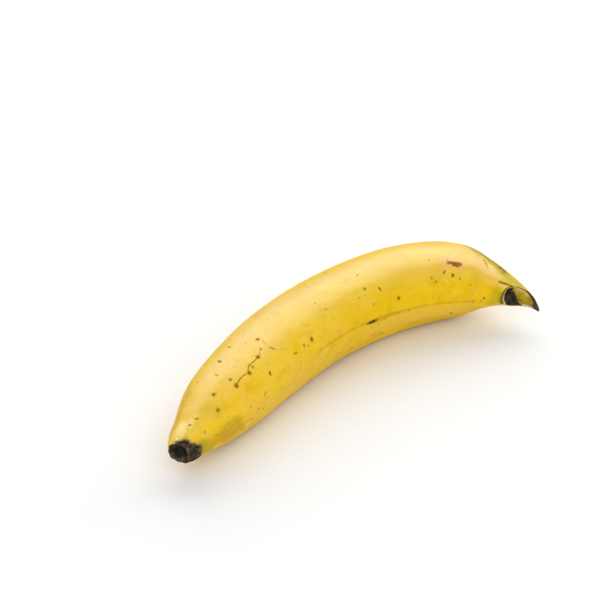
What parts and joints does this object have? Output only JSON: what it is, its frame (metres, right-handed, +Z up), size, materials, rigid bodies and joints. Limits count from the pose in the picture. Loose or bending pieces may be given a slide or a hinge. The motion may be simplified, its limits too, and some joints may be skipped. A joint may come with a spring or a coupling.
{
  "type": "plantain",
  "caption": "Whole ripe plantain lying on its side: curved, softly ridged fruit with a dried cratered tip and a torn slanting stem.",
  "frame": {"origin": "middle of the bounding box on the surface that the fruit lies on", "axes": "+X from the dried tip towards the stem, along the chord of the bend; +Y towards the outer side of the bend; +Z up"},
  "size_m": [0.2398, 0.0852, 0.0455],
  "materials": {
    "peel": "waxy yellow peel with small brown specks, blackened dry tip, yellow-green neck and dark torn stem"
  },
  "bodies": {
    "root": {"plantain": "peel"}
  },
  "joints": []
}
